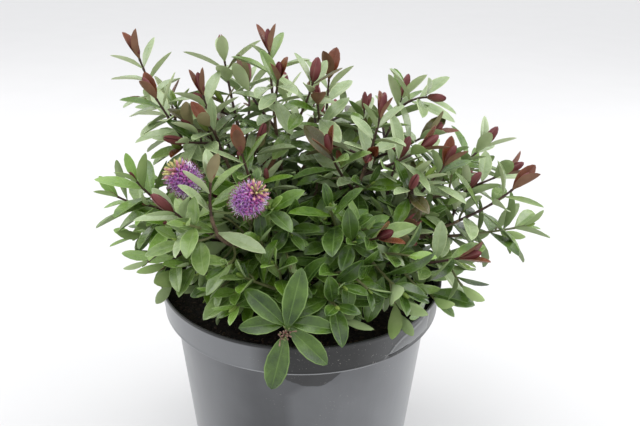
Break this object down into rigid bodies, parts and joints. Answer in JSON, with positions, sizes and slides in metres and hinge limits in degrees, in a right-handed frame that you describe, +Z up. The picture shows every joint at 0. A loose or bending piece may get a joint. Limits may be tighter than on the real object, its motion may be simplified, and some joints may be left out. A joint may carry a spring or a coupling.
{
  "type": "hebe shrub in a pot",
  "caption": "Hebe shrub: a bushy evergreen with slender leaves in opposite pairs, dark red buds and purple flower heads, in a round black nursery pot of compost.",
  "frame": {"origin": "centre of the pot's flat underside, on the surface it stands on", "axes": "+Z up, -Y towards the front, +X to the right as seen from the front"},
  "size_m": [0.4162, 0.3422, 0.461],
  "materials": {
    "container_plastic": "satin black moulded plastic, lightly scuffed and dusty",
    "compost": "moist, crumbly, dark brown potting compost",
    "bark": "thin brown bark, ringed at the old leaf joints",
    "leaves": "softly glossy evergreen leaves with dark red young buds"
  },
  "bodies": {
    "root": {"pot": "container_plastic", "potting_compost": "compost", "short_stem": "bark", "bough_left_tall": "bark", "foliage_left_tall": "leaves", "bough_left_rear": "bark", "foliage_left_rear": "leaves", "bough_centre": "bark", "foliage_centre": "leaves", "bough_centre_right": "bark", "foliage_centre_right": "leaves", "bough_right_rear": "bark", "foliage_right_rear": "leaves", "bough_right_inner": "bark", "foliage_right_inner": "leaves", "bough_left_inner": "bark", "foliage_left_inner": "leaves", "bough_front_inner": "bark", "foliage_front_inner": "leaves", "bough_front_left": "bark", "foliage_front_left": "leaves", "bough_left": "bark", "foliage_left": "leaves", "bough_right": "bark", "foliage_right": "leaves", "bough_right_far": "bark", "foliage_right_far": "leaves", "bough_right_back": "bark", "foliage_right_back": "leaves", "bough_right_low": "bark", "foliage_right_low": "leaves", "bough_front": "bark", "foliage_front": "leaves", "bough_front_right": "bark", "foliage_front_right": "leaves", "bough_front_low_left": "bark", "foliage_front_low_left": "leaves", "bough_front_low_right": "bark", "foliage_front_low_right": "leaves", "bough_left_low": "bark", "foliage_left_low": "leaves", "bough_back_left": "bark", "foliage_back_left": "leaves", "bough_back": "bark", "foliage_back": "leaves", "bough_back_right": "bark", "foliage_back_right": "leaves", "bough_left_back_low": "bark", "foliage_left_back_low": "leaves", "bough_right_back_low": "bark", "foliage_right_back_low": "leaves", "bough_back_low": "bark", "foliage_back_low": "leaves"}
  },
  "joints": []
}
